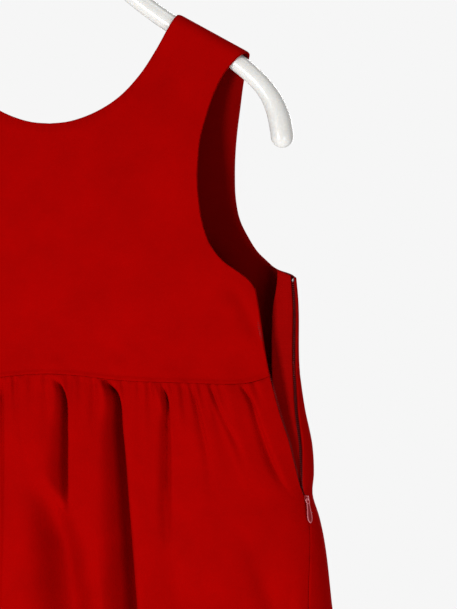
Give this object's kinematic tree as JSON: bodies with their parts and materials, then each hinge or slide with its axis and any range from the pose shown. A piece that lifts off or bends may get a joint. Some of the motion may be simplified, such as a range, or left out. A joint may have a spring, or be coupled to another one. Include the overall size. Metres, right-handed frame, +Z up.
{
  "type": "party dress on a hanger",
  "caption": "Sleeveless girl's party dress with a scooped neck, high waist seam, gathered skirt and open side zip, hanging on a plain moulded hanger.",
  "frame": {"origin": "the point inside the hanger hook's crown where a rail carries it", "axes": "+Z up, the dress's front faces -Y, the open side zip is on +X"},
  "size_m": [0.494, 0.1436, 0.8428],
  "materials": {
    "red_cotton_sateen": "matt, closely woven",
    "red_polyester_tape": "matt, woven tape",
    "red_enamelled_zinc": "gloss enamel",
    "white_polystyrene": "satin gloss"
  },
  "bodies": {
    "dress_on_hanger": {"bodice_front": "red_cotton_sateen", "bodice_back": "red_cotton_sateen", "skirt_front": "red_cotton_sateen", "skirt_back": "red_cotton_sateen", "zip_tape_front": "red_polyester_tape", "zip_tape_back": "red_polyester_tape", "zip_slider": "red_enamelled_zinc", "hanger": "white_polystyrene"},
    "pull_tab": {"zip_pull_tab": "red_enamelled_zinc"}
  },
  "joints": [
    {"name": "pull_tab_hinge", "type": "hinge", "parent": "dress_on_hanger", "child": "pull_tab", "pos_m": [0.19557, -0.01685, -0.50322], "axis": [-0.7136, -0.7006, 0], "range_deg": [0, 140]}
  ]
}
